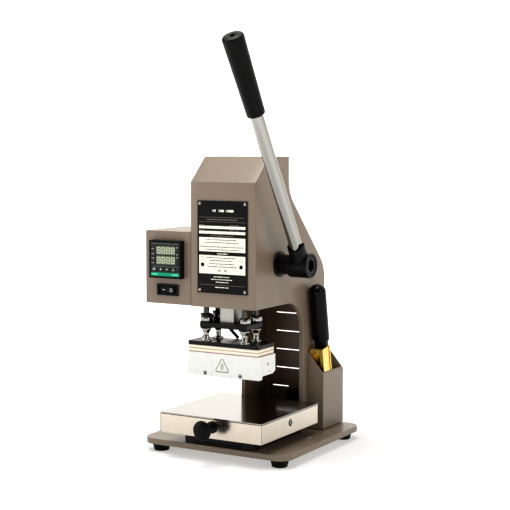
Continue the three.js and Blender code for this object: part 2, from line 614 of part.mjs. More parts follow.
// ---------------------------------------------------------------- control box
function makeControlBox() {
  const { left, right, back, bottom, top, wall } = BOX;
  const c = CONTROLLER;
  const s = SWITCH;
  const hole = c.body / 2 + GAP;
  const shell = box(left, right, 0, back, bottom, top)
    .subtract(box(left + wall, right + 1, wall, back - wall, bottom + wall, top - wall))
    .subtract(box(c.x - hole, c.x + hole, -1, wall + 1, c.z - hole, c.z + hole))
    .subtract(box(s.x - s.bodyWidth / 2 - GAP, s.x + s.bodyWidth / 2 + GAP, -1, wall + 1,
      s.z - s.bodyHeight / 2 - GAP, s.z + s.bodyHeight / 2 + GAP));
  add('control_box', shell, TAUPE);

  const half = c.bezel / 2;
  const body = c.body / 2;
  const rim = 2.2;
  const recess = half - rim;
  const caseSolid = box(c.x - half, c.x + half, -c.proud, -GAP, c.z - half, c.z + half)
    .add(box(c.x - body, c.x + body, -1, c.depth, c.z - body, c.z + body))
    .subtract(box(c.x - recess, c.x + recess, -c.proud - 1, -c.proud + c.recess, c.z - recess, c.z + recess));
  add('controller_case', caseSolid, BLACK_PLASTIC);

  const faceHalf = recess - GAP;
  const faceFront = -c.proud + 0.4;
  const faceBack = faceFront + 1.2;
  const leftEdge = c.x - half;
  const topEdge = c.z + half;
  const windowBox = (grow) => [
    leftEdge + DISPLAY.left - grow, leftEdge + DISPLAY.right + grow,
    topEdge - DISPLAY.bottom - grow, topEdge - DISPLAY.top + grow,
  ];
  let face = box(c.x - faceHalf, c.x + faceHalf, faceFront, faceBack, c.z - faceHalf, c.z + faceHalf);
  const [wx0, wx1, wz0, wz1] = windowBox(GAP);
  face = face.subtract(box(wx0, wx1, faceFront - 1, faceBack + 1, wz0, wz1));
  const keyZ = topEdge - KEY.belowTop;
  KEY.spots.forEach((spot, i) => {
    const x = leftEdge + spot;
    const w = KEY.width / 2;
    const h = KEY.height / 2;
    const keyBox = (grow, y0, y1) =>
      box(x - w - grow, x + w + grow, y0, y1, keyZ - h - grow, keyZ + h + grow);
    face = face.subtract(keyBox(GAP, faceFront - 1, faceBack + 1));
    add(`key_${i + 1}`, keyBox(0, faceFront - 0.5, faceBack + 0.4), FACE_BLACK);
  });
  add('controller_face', face, FACE_BLACK);
  const [dx0, dx1, dz0, dz1] = windowBox(0);
  add('display_window', box(dx0, dx1, faceFront + 0.3, faceBack, dz0, dz1), LENS);
}

function makeSwitch() {
  const { x, z, width, height, bodyWidth, bodyHeight, proud, depth, tilt } = SWITCH;
  const opening = { w: bodyWidth / 2 - 1.4, h: bodyHeight / 2 - 1.2 };
  const bezel = box(x - width / 2, x + width / 2, -proud, -GAP, z - height / 2, z + height / 2)
    .add(box(x - bodyWidth / 2, x + bodyWidth / 2, -1, depth, z - bodyHeight / 2, z + bodyHeight / 2))
    .subtract(box(x - opening.w, x + opening.w, -proud - 1, depth - 5, z - opening.h, z + opening.h));
  add('switch_bezel', bezel, BLACK_PLASTIC);
  const w = opening.w - 1;
  const outline = polygon([[-w, -2.9], [0, -0.9], [w, -2.9], [w, 1.2], [4, 6.5], [-4, 6.5], [-w, 1.2]]);
  const rocker = new THREE.Group();
  rocker.position.set(x, 0.2, 0);
  rocker.rotation.z = rad(tilt);
  group.add(rocker);
  add('switch_rocker', prismZ(outline, z - opening.h + 0.4, z + opening.h - 0.4), BLACK_PLASTIC, rocker);
}

// ---------------------------------------------------------------- tool pocket and type holder
function makePocket() {
  const { out, front, back, bottom, outerTop, innerTop, wall } = POCKET;
  const inner = HALF + GAP;
  const mouth = polygon([[inner, bottom], [out, bottom], [out, outerTop], [inner, innerTop]]);
  const geometry = extrude(mouth, back - front);
  const basis = new THREE.Matrix4().makeBasis(
    new THREE.Vector3(1, 0, 0), new THREE.Vector3(0, 0, 1), new THREE.Vector3(0, -1, 0));
  geometry.applyMatrix4(basis);
  geometry.translate(0, back, 0);
  const pocket = toSolid(geometry)
    .subtract(box(inner - 1, out - wall, front + wall, back - wall, bottom + wall, innerTop + 1));
  add('tool_pocket', pocket, TAUPE);
}

function makeHolder() {
  const { x, footY, footZ, lean, width, depth, length } = HOLDER;
  const { channel, channelDepth, channelEnd, jaw, jawTop, screwHeights } = HOLDER;
  const tool = new THREE.Group();
  tool.position.set(x, footY, footZ);
  tool.rotation.x = rad(lean);
  group.add(tool);
  const w = width / 2;
  const d = depth / 2;
  const c = channel / 2;
  const stemY = d - 5.6;
  const archZ = length - channelEnd - c;
  let body = box(-w, w, -d, d, 0, length)
    .subtract(box(-c, c, -d - 1, -d + channelDepth, -1, archZ))
    .subtract(alongY(-d - 1, -d + channelDepth, c, 0, archZ, 32))
    .subtract(alongZ(length - 13, length + 1, 4.4, 0, stemY, 20));
  const groove = 2;
  for (const [x0, x1] of [[-w - 1, -w + groove], [w - groove, w + 1]]) {
    body = body.subtract(box(x0, x1, d - 5.5, d - 2.5, -1, length + 1));
  }
  for (const z of screwHeights) body = body.subtract(alongX(c - 1, w + 1, 1.5, -d + 5, z, 12));
  add('type_holder_body', body, BRASS, tool);
  const jawBar = box(c - GAP - jaw, c - GAP, -d + 0.6, -d + channelDepth - 0.4, 1, jawTop);
  add('type_holder_jaw', jawBar, BRASS, tool);

  const r = HOLDER.handleRadius;
  const top = HOLDER.handleLength;
  const handle = turned([
    [0, -11], [4, -11], [4, GAP], [9.2, GAP], [9.4, 7], [r - 1.2, 7.6], [r, 9], [r, top - 9],
    [r - 1.2, top - 5.5], [5.4, top - 0.8], [3, top], [0, top],
  ], [0, 0, length], [0, 0, 1], 28);
  const handleMesh = add('type_holder_handle', handle, BLACK_PLASTIC, tool);
  handleMesh.position.y = stemY;
}

makeBase();
makeFrame();
makeInlet();
makeNamePlate();
makeRam();
makeGuides();
makeReturnSprings();
makeCrosshead();
makeShaft();
makeLever();
makeYoke();
makeHeater();
makeLeads();
makeTable();
makeControlBox();
makeSwitch();
makePocket();
makeHolder();

// The origin is the middle of the whole press's footprint, on the bench top.
group.updateMatrixWorld(true);
const extent = new THREE.Box3().setFromObject(group);
const middle = extent.getCenter(new THREE.Vector3());
group.position.set(-middle.x, -middle.y, -extent.min.z);

export default group;
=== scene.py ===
import json
import math
import random

import bmesh
import bpy
from mathutils import Matrix, Vector


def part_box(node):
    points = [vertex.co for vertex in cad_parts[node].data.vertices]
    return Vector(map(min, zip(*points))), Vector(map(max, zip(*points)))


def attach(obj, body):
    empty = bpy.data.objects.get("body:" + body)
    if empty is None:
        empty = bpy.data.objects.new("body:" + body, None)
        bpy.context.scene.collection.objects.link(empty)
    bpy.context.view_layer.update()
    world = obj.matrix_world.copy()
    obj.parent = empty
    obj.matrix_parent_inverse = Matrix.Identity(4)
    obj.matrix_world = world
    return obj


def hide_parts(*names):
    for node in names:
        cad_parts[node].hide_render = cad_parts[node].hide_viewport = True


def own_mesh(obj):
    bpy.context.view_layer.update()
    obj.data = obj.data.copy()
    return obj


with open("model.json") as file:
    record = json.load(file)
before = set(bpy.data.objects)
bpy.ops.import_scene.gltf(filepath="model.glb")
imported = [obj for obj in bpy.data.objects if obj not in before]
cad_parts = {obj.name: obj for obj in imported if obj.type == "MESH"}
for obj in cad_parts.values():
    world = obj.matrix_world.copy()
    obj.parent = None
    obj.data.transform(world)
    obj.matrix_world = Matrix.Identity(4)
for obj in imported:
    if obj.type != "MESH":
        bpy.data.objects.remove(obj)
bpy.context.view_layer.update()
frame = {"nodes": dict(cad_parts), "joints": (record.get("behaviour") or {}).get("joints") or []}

# Looks of the tabletop hot-foil press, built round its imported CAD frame. Row frame, metres, +Z up.
MM = 0.001
PRINT = 0.06 * MM                       # how far printed marks stand proud of their surface
LEVER_LEAN = math.radians(31.8)         # the lever at rest, forward of upright
HOLDER_LEAN = math.radians(10)          # the type holder in its pocket
ROCKER_TILT = math.radians(-8)
ROD_RADIUS, ROD_TOP = 8, 296.2          # the lever rod, in mm along the lever from its shaft
GRIP_START, GRIP_END = 217, 318.8
NUT_HALF_FLATS = 6.5                    # mm, the levelling bolts' nuts
SPRING_WIRE = 1.8 * MM
SPRING_TURNS = 10
HOLDER_DEPTH, HOLDER_LENGTH = 11 * MM, 105 * MM
BACKDROP = 1.3                          # the walls' brightness as the camera sees them
AMBIENT = 0.2                           # how strongly the walls light the paint
QUARTER = [math.radians(15 * i) for i in range(7)]      # steps round a quarter circle
# Brightness of the studio's walls by bearing, in degrees anticlockwise from the press's right.
WALLS = (
    (-180, 0.45), (-150, 0.5), (-128, 0.7), (-112, 0.2), (-92, 0.12), (-62, 0.14), (-42, 0.16),
    (-24, 0.6), (10, 0.5), (60, 0.9), (120, 1.2), (180, 0.45),
)


def centre(node):
    low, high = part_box(node)
    return (low + high) / 2


def srgb(r, g, b):
    """A colour given as 0-255 values, in Blender's linear units."""
    def linear(value):
        c = value / 255
        return c / 12.92 if c <= 0.04045 else ((c + 0.055) / 1.055) ** 2.4
    return (linear(r), linear(g), linear(b), 1)


# ---------------------------------------------------------------- camera, floor and lights
def make_camera():
    azimuth, pitch, roll = (math.radians(a) for a in (30.11, 4.84, 0.12))
    ahead = Vector((-math.sin(azimuth), math.cos(azimuth), 0))
    forward = ahead * math.cos(pitch) - Vector((0, 0, math.sin(pitch)))
    level = Vector((math.cos(azimuth), math.sin(azimuth), 0))
    above = level.cross(forward)
    right = level * math.cos(roll) + above * math.sin(roll)
    up = above * math.cos(roll) - level * math.sin(roll)
    camera = bpy.data.objects.new("camera", bpy.data.cameras.new("camera"))
    turn = Matrix((right, up, -forward)).transposed().to_4x4()
    camera.matrix_world = Matrix.Translation((0.82335, -1.36481, 0.3882)) @ turn
    camera.data.sensor_width = 36
    camera.data.lens = 89.22
    camera.data.clip_start = 0.05
    camera.data.clip_end = 100
    bpy.context.scene.collection.objects.link(camera)
    bpy.context.scene.camera = camera


def make_world():
    """A white studio: its walls differ in brightness round the press, which is what the metals show."""
    world = bpy.data.worlds.new("studio")
    bpy.context.scene.world = world
    world.use_nodes = True
    tree = world.node_tree
    background = tree.nodes["Background"]
    background.inputs["Color"].default_value = (1.0, 0.975, 0.94, 1)
    place = tree.nodes.new("ShaderNodeTexCoord")
    split = tree.nodes.new("ShaderNodeSeparateXYZ")
    angle = tree.nodes.new("ShaderNodeMath")
    angle.operation = "ARCTAN2"
    turn = tree.nodes.new("ShaderNodeMapRange")
    turn.inputs["From Min"].default_value = -math.pi
    turn.inputs["From Max"].default_value = math.pi
    walls = tree.nodes.new("ShaderNodeValToRGB")
    walls.color_ramp.interpolation = "EASE"
    stops = walls.color_ramp.elements
    while len(stops) < len(WALLS):
        stops.new(0.5)
    for stop, (bearing, level) in zip(stops, WALLS):
        stop.position = (bearing + 180) / 360
        stop.color = (level, level, level, 1)
    seen = tree.nodes.new("ShaderNodeLightPath")
    soften = tree.nodes.new("ShaderNodeMix")
    soften.inputs["B"].default_value = AMBIENT
    show = tree.nodes.new("ShaderNodeMix")
    show.inputs["B"].default_value = BACKDROP
    tree.links.new(place.outputs["Generated"], split.inputs["Vector"])
    tree.links.new(split.outputs["Y"], angle.inputs[0])
    tree.links.new(split.outputs["X"], angle.inputs[1])
    tree.links.new(angle.outputs["Value"], turn.inputs["Value"])
    tree.links.new(turn.outputs["Result"], walls.inputs["Fac"])
    tree.links.new(seen.outputs["Is Camera Ray"], show.inputs["Factor"])
    tree.links.new(seen.outputs["Is Diffuse Ray"], soften.inputs["Factor"])
    tree.links.new(walls.outputs["Color"], soften.inputs["A"])
    tree.links.new(soften.outputs["Result"], show.inputs["A"])
    tree.links.new(show.outputs["Result"], background.inputs["Strength"])


def area_light(name, place, target, size, watts):
    data = bpy.data.lights.new(name, "AREA")
    data.shape = "RECTANGLE"
    data.size, data.size_y = size
    data.energy = watts
    lamp = bpy.data.objects.new(name, data)
    lamp.location = place
    lamp.rotation_mode = "QUATERNION"
    lamp.rotation_quaternion = (Vector(target) - Vector(place)).to_track_quat("-Z", "Y")
    bpy.context.scene.collection.objects.link(lamp)


def make_studio():
    make_world()
    middle = (0.0, 0.0, 0.2)
    area_light("top_softbox", (-0.15, -0.35, 1.9), middle, (1.3, 1.1), 24)
    area_light("left_strip", (-1.5, -1.45, 0.9), middle, (0.5, 1.5), 6)
    area_light("right_fill", (1.9, -0.5, 0.9), middle, (0.8, 1.2), 6)
    floor = bpy.data.meshes.new("floor")
    half = 12
    corners = [(-half, -half, 0), (half, -half, 0), (half, half, 0), (-half, half, 0)]
    floor.from_pydata(corners, [], [(0, 1, 2, 3)])
    thing = bpy.data.objects.new("floor", floor)
    bpy.context.scene.collection.objects.link(thing)
    floor.materials.append(make_floor_paper())


# ---------------------------------------------------------------- material helpers
class Look:
    """A Principled material with the few procedural tools that the finishes below share."""

    def __init__(self, name, colour, roughness, metallic=0.0, **sockets):
        self.material = bpy.data.materials.new(name)
        self.material.use_nodes = True
        self.tree = self.material.node_tree
        self.shader = self.tree.nodes["Principled BSDF"]
        self.colour = colour
        self.set("Base Color", colour)
        self.set("Roughness", roughness)
        self.set("Metallic", metallic)
        for socket, value in sockets.items():
            self.set(socket.replace("_", " "), value)
        self.place = self.tree.nodes.new("ShaderNodeTexCoord").outputs["Object"]

    def set(self, socket, value):
        self.shader.inputs[socket].default_value = value

    def link(self, output, target):
        self.tree.links.new(output, target)

    def node(self, kind, **settings):
        made = self.tree.nodes.new("ShaderNode" + kind)
        for key, value in settings.items():
            setattr(made, key, value)
        return made

    def noise(self, scale, detail=3.0, stretch=(1, 1, 1), turn=(0, 0, 0)):
        """A noise in object space, its features about 1 / scale metres, longer along a small stretch."""
        mapping = self.node("Mapping")
        mapping.inputs["Scale"].default_value = stretch
        mapping.inputs["Rotation"].default_value = turn
        texture = self.node("TexNoise")
        texture.inputs["Scale"].default_value = scale
        texture.inputs["Detail"].default_value = detail
        self.link(self.place, mapping.inputs["Vector"])
        self.link(mapping.outputs["Vector"], texture.inputs["Vector"])
        return texture.outputs["Fac"]

    def ramp(self, value, low, high):
        """Spreads a 0-1 value from low to high, with its middle third stretched out."""
        made = self.node("MapRange")
        for name, number in (("From Min", 0.33), ("From Max", 0.67), ("To Min", low), ("To Max", high)):
            made.inputs[name].default_value = number
        self.link(value, made.inputs["Value"])
        return made.outputs["Result"]

    def mottle(self, value, low, high):
        """Lets the base colour run between two strengths of itself."""
        mix = self.node("Mix", data_type="RGBA")
        for socket, strength in ((6, low), (7, high)):
            shade = [min(1, c * strength) for c in self.colour[:3]] + [1]
            mix.inputs[socket].default_value = shade
        self.link(self.ramp(value, 0, 1), mix.inputs[0])
        self.link(mix.outputs[2], self.shader.inputs["Base Color"])
        return mix.outputs[2]

    def gloss(self, value, low, high):
        self.link(self.ramp(value, low, high), self.shader.inputs["Roughness"])

    def relief(self, value, depth, strength=1.0):
        """A bump of the given depth in metres. Reliefs stack, the last one on top."""
        bump = self.node("Bump")
        bump.inputs["Strength"].default_value = strength
        bump.inputs["Distance"].default_value = depth
        self.link(value, bump.inputs["Height"])
        normal = self.shader.inputs["Normal"]
        if normal.is_linked:
            self.link(normal.links[0].from_socket, bump.inputs["Normal"])
        self.link(bump.outputs["Normal"], normal)


def make_floor_paper():
    """White paper with a painted glow: it gives off light, weakly near the press and more strongly away from
    it.
    """
    look = Look("floor_paper_painted_glow", (0.55, 0.55, 0.55, 1), 0.9, Specular_IOR_Level=0.1,
                Emission_Color=(1, 0.995, 0.985, 1))
    # Painted glow: the emission strength grows with distance from the press, so the floor is darker round it.
    away = look.node("VectorMath", operation="LENGTH")
    look.link(look.place, away.inputs[0])
    spread = look.node("MapRange", interpolation_type="SMOOTHSTEP")
    for name, value in (("From Min", 0.16), ("From Max", 0.6), ("To Min", 0.33), ("To Max", 0.8)):
        spread.inputs[name].default_value = value
    look.link(away.outputs["Value"], spread.inputs["Value"])
    look.link(spread.outputs["Result"], look.shader.inputs["Emission Strength"])
    look.relief(look.noise(400), 0.05 * MM, 0.2)
    return look.material


# ---------------------------------------------------------------- finishes
def powder_coat(name="taupe_powder_coat", colour=(0.235, 0.185, 0.14)):
    """Satin powder coat: fine orange peel, a faint metallic speckle and a slow change of shade."""
    look = Look(name, (*colour, 1), 0.42, Coat_Weight=0.2, Coat_Roughness=0.22)
    look.mottle(look.noise(900, 4), 0.93, 1.07)
    look.gloss(look.noise(25, 2), 0.38, 0.48)
    look.relief(look.noise(1300, 2), 0.05 * MM, 0.35)
    look.relief(look.noise(60, 2), 0.2 * MM, 0.12)
    return look.material


def black_oxide(name="black_oxide", shade=(0.0055, 0.0052, 0.0054, 1), roughness=0.36):
    look = Look(name, shade, roughness, 0.2, Specular_IOR_Level=0.32)
    look.mottle(look.noise(220, 5), 0.7, 1.5)
    look.gloss(look.noise(90, 3), roughness - 0.06, roughness + 0.1)
    look.relief(look.noise(1500, 3), 0.03 * MM, 0.4)
    return look.material


def moulded_plastic(name, shade, roughness, grain):
    look = Look(name, shade, roughness, Specular_IOR_Level=0.2)
    look.mottle(look.noise(120, 3), 0.85, 1.2)
    look.gloss(look.noise(70, 3), roughness - 0.05, roughness + 0.06)
    look.relief(look.noise(grain, 2), 0.03 * MM, 0.5)
    return look.material


def polished_chrome():
    look = Look("polished_chrome", (0.36, 0.355, 0.33, 1), 0.08, 1.0)
    look.gloss(look.noise(160, 4), 0.05, 0.12)
    look.relief(look.noise(30, 2), 0.05 * MM, 0.1)
    return look.material


def drawn_steel(name, shade, roughness, stretch, turn=(0, 0, 0)):
    """Ground or brushed metal, its fine lines along the axis with the small stretch."""
    look = Look(name, shade, roughness, 1.0)
    lines = look.noise(2600, 2, stretch, turn)
    look.mottle(look.noise(45, 3), 0.97, 1.03)
    look.gloss(lines, roughness - 0.06, roughness + 0.08)
    look.relief(lines, 0.012 * MM, 0.5)
    return look.material


def machined_brass():
    look = Look("machined_brass", (0.80, 0.575, 0.19, 1), 0.26, 1.0)
    marks = look.noise(1500, 2, (1, 1, 0.05), (HOLDER_LEAN, 0, 0))
    look.mottle(look.noise(70, 4), 0.86, 1.05)
    look.gloss(marks, 0.17, 0.34)
    look.relief(marks, 0.015 * MM, 0.5)
    return look.material


def white_enamel():
    look = Look("white_enamel", (0.8, 0.805, 0.775, 1), 0.3, Coat_Weight=0.25, Coat_Roughness=0.12)
    look.mottle(look.noise(12, 1), 0.99, 1.0)
    look.gloss(look.noise(60, 3), 0.25, 0.36)
    look.relief(look.noise(500, 2), 0.04 * MM, 0.25)
    return look.material


def laminated_board():
    """Heat-proof board of two cream layers, each above a thin pink-brown one, with fibres at its cut edge."""
    look = Look("laminated_board", srgb(236, 226, 206), 0.8)
    low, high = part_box("insulation_board")
    height = look.node("SeparateXYZ")
    look.link(look.place, height.inputs["Vector"])
    level = look.node("MapRange")
    level.inputs["From Min"].default_value = low.z
    level.inputs["From Max"].default_value = high.z
    look.link(height.outputs["Z"], level.inputs["Value"])
    wander = look.node("Math", operation="MULTIPLY_ADD")
    wander.inputs[1].default_value = 0.05
    look.link(look.noise(90, 2), wander.inputs[0])
    look.link(level.outputs["Result"], wander.inputs[2])
    layers = look.node("ValToRGB")
    layers.color_ramp.interpolation = "LINEAR"
    stops = layers.color_ramp.elements
    cream, pink = srgb(244, 236, 218), srgb(172, 132, 116)
    bands = (
        (0.0, pink), (0.1, pink), (0.16, cream), (0.5, cream),
        (0.54, pink), (0.6, pink), (0.66, cream), (1, cream),
    )
    while len(stops) < len(bands):
        stops.new(0.5)
    for stop, (place, shade) in zip(stops, bands):
        stop.position = place
        stop.color = shade
    look.link(wander.outputs["Value"], layers.inputs["Fac"])
    look.link(layers.outputs["Color"], look.shader.inputs["Base Color"])
    look.relief(look.noise(900, 3, (0.2, 0.2, 1)), 0.06 * MM, 0.6)
    return look.material


def braided_sleeve():
    look = Look("braided_sleeve", (0.02, 0.019, 0.018, 1), 0.75)
    for direction in ("X", "Z"):
        weave = look.node("TexWave", wave_type="BANDS", bands_direction=direction, wave_profile="SIN")
        weave.inputs["Scale"].default_value = 320
        weave.inputs["Distortion"].default_value = 1.5
        look.link(look.place, weave.inputs["Vector"])
        look.relief(weave.outputs["Fac"], 0.2 * MM, 0.8)
    look.mottle(look.noise(700, 3), 0.6, 1.9)
    return look.material


def printed(name, colour, roughness=0.4):
    """Ink or film: an even colour with the slight unevenness of a printed coat."""
    look = Look(name, colour, roughness, Specular_IOR_Level=0.25)
    look.mottle(look.noise(300, 3), 0.94, 1.04)
    look.gloss(look.noise(180, 3), roughness - 0.05, roughness + 0.08)
    return look.material


def lit_film(name, colour, glow):
    look = Look(name, colour, 0.25, Emission_Color=colour, Emission_Strength=glow)
    look.mottle(look.noise(800, 2), 0.93, 1.05)
    return look.material


TAUPE = powder_coat()
# A darker copy of the taupe coat: painted shade for the inside of the column.
TAUPE_PAINTED_SHADE = powder_coat("taupe_painted_shade_inside", (0.19, 0.13, 0.075))
BLACK = black_oxide()
PLATEN_BLACK = black_oxide("black_plate", (0.006, 0.0057, 0.0055, 1), 0.3)
GLOSSY_PLASTIC = moulded_plastic("glossy_black_plastic", (0.004, 0.0042, 0.004, 1), 0.16, 900)
PLASTIC = moulded_plastic("black_plastic", (0.004, 0.004, 0.0042, 1), 0.3, 1800)
GRIP = moulded_plastic("grip_moulding", (0.0022, 0.002, 0.0019, 1), 0.36, 1400)
RUBBER = moulded_plastic("foot_rubber", (0.009, 0.009, 0.0095, 1), 0.7, 1100)
CHROME = polished_chrome()
STEEL = drawn_steel("ground_steel", (0.40, 0.40, 0.375, 1), 0.34, (1, 1, 0.03))
SHAFT_STEEL = drawn_steel("shaft_steel", (0.42, 0.42, 0.40, 1), 0.3, (0.03, 1, 1))
TABLE_TOP = drawn_steel("polished_stainless", (0.34, 0.33, 0.305, 1), 0.11, (0.02, 1, 1))
TABLE_SIDE = drawn_steel("satin_stainless", (0.63, 0.57, 0.49, 1), 0.2, (0.02, 0.02, 1))
BRASS = machined_brass()
BRONZE = drawn_steel("bush_bronze", (0.5, 0.32, 0.15, 1), 0.4, (1, 0.1, 0.1))
ENAMEL = white_enamel()
BOARD = laminated_board()
SLEEVE = braided_sleeve()
LABEL = printed("label_black", (0.0025, 0.0025, 0.0026, 1), 0.32)
CREAM = printed("label_cream", srgb(238, 240, 224))
LABEL_GREY = printed("label_grey_text", srgb(150, 152, 140))
LABEL_RULE = printed("label_rule", srgb(120, 112, 104))
SIGN_GREY = printed("sign_grey", srgb(138, 144, 128))
SEAM = printed("sheet_seam", (0.06, 0.045, 0.03, 1))
SIGN_PALE = printed("sign_pale_grey", srgb(186, 192, 174))
FACE = printed("controller_membrane", (0.028, 0.034, 0.030, 1), 0.3)
FACE_LINE = printed("controller_lines", srgb(150, 158, 150))
STRIPE = printed("green_stripe", (0.006, 0.33, 0.19, 1), 0.3)
STRIPE_PALE = printed("stripe_marks", (0.16, 0.70, 0.46, 1), 0.3)
SYMBOL = printed("pale_symbols", srgb(196, 200, 192))
WINDOW = lit_film("display_window_film", srgb(112, 118, 100), 0.03)
DIGIT = lit_film("display_segments", srgb(190, 198, 172), 0.1)


# ---------------------------------------------------------------- dressing the CAD nodes
def dress(look, edge, *names, segments=2):
    """Gives CAD nodes their finish and, without touching their meshes, rounds their edges by modifiers."""
    for name in names:
        part = frame["nodes"][name]
        mesh = part.data
        mesh.materials.clear()
        mesh.materials.append(look)
        mesh.polygons.foreach_set("material_index", [0] * len(mesh.polygons))
        mesh.polygons.foreach_set("use_smooth", [True] * len(mesh.polygons))
        if mesh.attributes.get("custom_normal"):
            mesh.attributes.remove(mesh.attributes["custom_normal"])
        weld = part.modifiers.new("weld", "WELD")
        weld.merge_threshold = 0.002 * MM
        flat = part.modifiers.new("flat_faces", "DECIMATE")
        flat.decimate_type = "DISSOLVE"
        flat.angle_limit = math.radians(0.3)
        bevel = part.modifiers.new("edges", "BEVEL")
        bevel.width = edge * MM
        bevel.segments = segments
        bevel.limit_method = "ANGLE"
        bevel.angle_limit = math.radians(32)
        bevel.use_clamp_overlap = False
        bevel.harden_normals = True


def paint_column_shade(*names):
    """The faces that look into the column take a darker copy of the coat: painted shade for the shadow inside
    the column.
    """
    middle = centre("front_cover").x
    for name in names:
        mesh = frame["nodes"][name].data
        mesh.materials.append(TAUPE_PAINTED_SHADE)
        for face in mesh.polygons:
            inward = face.normal.x * (face.center.x - middle) < 0 and abs(face.normal.x) > 0.9
            if inward or face.normal.y < -0.9 and name == "back_panel":
                face.material_index = 1


def dress_frame():
    dress(TAUPE, 0.8, "base_plate", "left_side_plate", "right_side_plate", "front_cover", segments=3)
    dress(TAUPE, 0.5, "back_panel", "control_box", "tool_pocket")
    paint_column_shade("left_side_plate", "right_side_plate", "front_cover", "back_panel")
    dress(PLASTIC, 0.4, "power_inlet", "controller_case", "switch_bezel", "switch_rocker")
    dress(LABEL, 0.25, "name_plate")
    dress(FACE, 0.12, "controller_face", "key_1", "key_2", "key_3", "key_4")


def dress_mechanism():
    dress(STEEL, 0.4, "ram_bar")
    dress(BLACK, 0.5, "lower_ram_guide", "upper_ram_guide", "spring_crosshead", "slide_bed", "slide_tongue")
    dress(SHAFT_STEEL, 0.3, "lever_shaft", "drive_pinion")
    dress(BLACK, 0.7, "lever_hub", "shaft_bush_right", segments=3)
    dress(BLACK, 0.5, "hub_cap_screw")
    dress(BRONZE, 0.4, "shaft_bush_left")
    dress(PLATEN_BLACK, 0.4, "yoke_plate", "heater_plate")
    dress(BOARD, 0.2, "insulation_board")
    dress(ENAMEL, 0.5, "heater_block", "heater_front_plate")
    dress(STEEL, 0.3, "cartridge_heater_front", "cartridge_heater_back")
    dress(SLEEVE, 0.1, "heater_lead", "probe_lead")
    dress(TABLE_TOP, 0.15, "table_top")
    dress(TABLE_SIDE, 0.5, "table_pan")
    dress(BRASS, 0.12, "type_holder_body", "type_holder_jaw")


# ---------------------------------------------------------------- mesh helpers
class Piece:
    """A mesh piece in the row frame, made of turned shapes, blocks and flat outlines, each with a finish."""

    def __init__(self, name, body, *looks):
        self.name = name
        self.body = body
        self.looks = looks
        self.mesh = bmesh.new()

    def faces(self, rings, look, closed=True):
        """Joins rings of points, each a list of the same length, with quads."""
        made = [[self.mesh.verts.new(p) for p in ring] for ring in rings]
        count = len(made[0])
        index = self.looks.index(look)
        for low, high in zip(made, made[1:]):
            for i in range(count if closed else count - 1):
                j = (i + 1) % count
                self.mesh.faces.new((low[i], low[j], high[j], high[i])).material_index = index
        for ring, reverse in ((made[0], True), (made[-1], False)):
            cap = self.mesh.faces.new(ring[::-1] if reverse else ring)
            cap.material_index = index

    def turned(self, profile, look, place, segments=64):
        """A turned shape. The profile is (radius, height) from one end to the other; a third item "hex"
        makes that ring a hexagon of that inner radius. place is the matrix of its foot, with +Z its axis."""
        rings = []
        for radius, height, *kind in profile:
            ring = []
            for i in range(segments):
                a = 2 * math.pi * i / segments
                flat = math.cos((a + math.pi / 6) % (math.pi / 3) - math.pi / 6)
                r = max(radius, 0.001) * MM / (flat if kind else 1)
                ring.append(place @ Vector((r * math.cos(a), r * math.sin(a), height * MM)))
            rings.append(ring)
        self.faces(rings, look)

    def block(self, look, low, high, place=None):
        """A block between two corners, in metres."""
        place = place or Matrix.Identity(4)
        (x0, y0, z0), (x1, y1, z1) = low, high
        corners = ((x0, y0), (x1, y0), (x1, y1), (x0, y1))
        rings = [[place @ Vector((x, y, z)) for x, y in corners] for z in (z0, z1)]
        self.faces(rings, look)

    def flat(self, look, outline, place, thick=PRINT):
        """A thin flat shape: an outline in (x, y) of the place, raised along its +Z."""
        rings = [[place @ Vector((x, y, z)) for x, y in outline] for z in (-thick, thick)]
        self.faces(rings, look)

    def band(self, look, outer, inner, place, thick=PRINT):
        """A thin flat ring between two outlines with the same number of points."""
        rings = [[place @ Vector((x, y, z)) for x, y in line]
                 for line, z in ((inner, -thick), (outer, -thick), (outer, thick), (inner, thick))]
        made = [[self.mesh.verts.new(p) for p in ring] for ring in rings]
        count = len(outer)
        for low, high in zip(made, made[1:] + made[:1]):
            for i in range(count):
                j = (i + 1) % count
                face = self.mesh.faces.new((low[i], low[j], high[j], high[i]))
                face.material_index = self.looks.index(look)

    def done(self, slot, *replaced, smooth=40):
        bmesh.ops.recalc_face_normals(self.mesh, faces=self.mesh.faces)
        for edge in self.mesh.edges:
            edge.smooth = len(edge.link_faces) != 2 or edge.calc_face_angle() < math.radians(smooth)
        for face in self.mesh.faces:
            face.smooth = True
        data = bpy.data.meshes.new(self.name)
        self.mesh.to_mesh(data)
        self.mesh.free()
        for look in self.looks:
            data.materials.append(look)
        thing = bpy.data.objects.new(self.name, data)
        bpy.context.scene.collection.objects.link(thing)
        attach(thing, self.body)
        if replaced:
            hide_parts(*replaced)
        return thing


def pointing(place, direction):
    """The matrix of a place whose +Z points along a direction."""
    return Matrix.Translation(place) @ Vector(direction).to_track_quat("Z", "Y").to_matrix().to_4x4()


def facing_front(x, y, z):
    """A place on a front face: its +X is the press's right, its +Y is up and its +Z comes forward."""
    axes = Matrix(((1, 0, 0), (0, 0, -1), (0, 1, 0))).to_4x4()
    return Matrix.Translation((x, y, z)) @ axes


def arc(cx, cy, radius, start, end, steps):
    angles = [math.radians(start + (end - start) * i / steps) for i in range(steps + 1)]
    return [(cx + radius * math.cos(a), cy + radius * math.sin(a)) for a in angles]


def disc(cx, cy, radius, steps=32):
    return arc(cx, cy, radius, 0, 360 * (steps - 1) / steps, steps - 1)


def rectangle(x0, x1, y0, y1):
    return [(x0, y0), (x1, y0), (x1, y1), (x0, y1)]


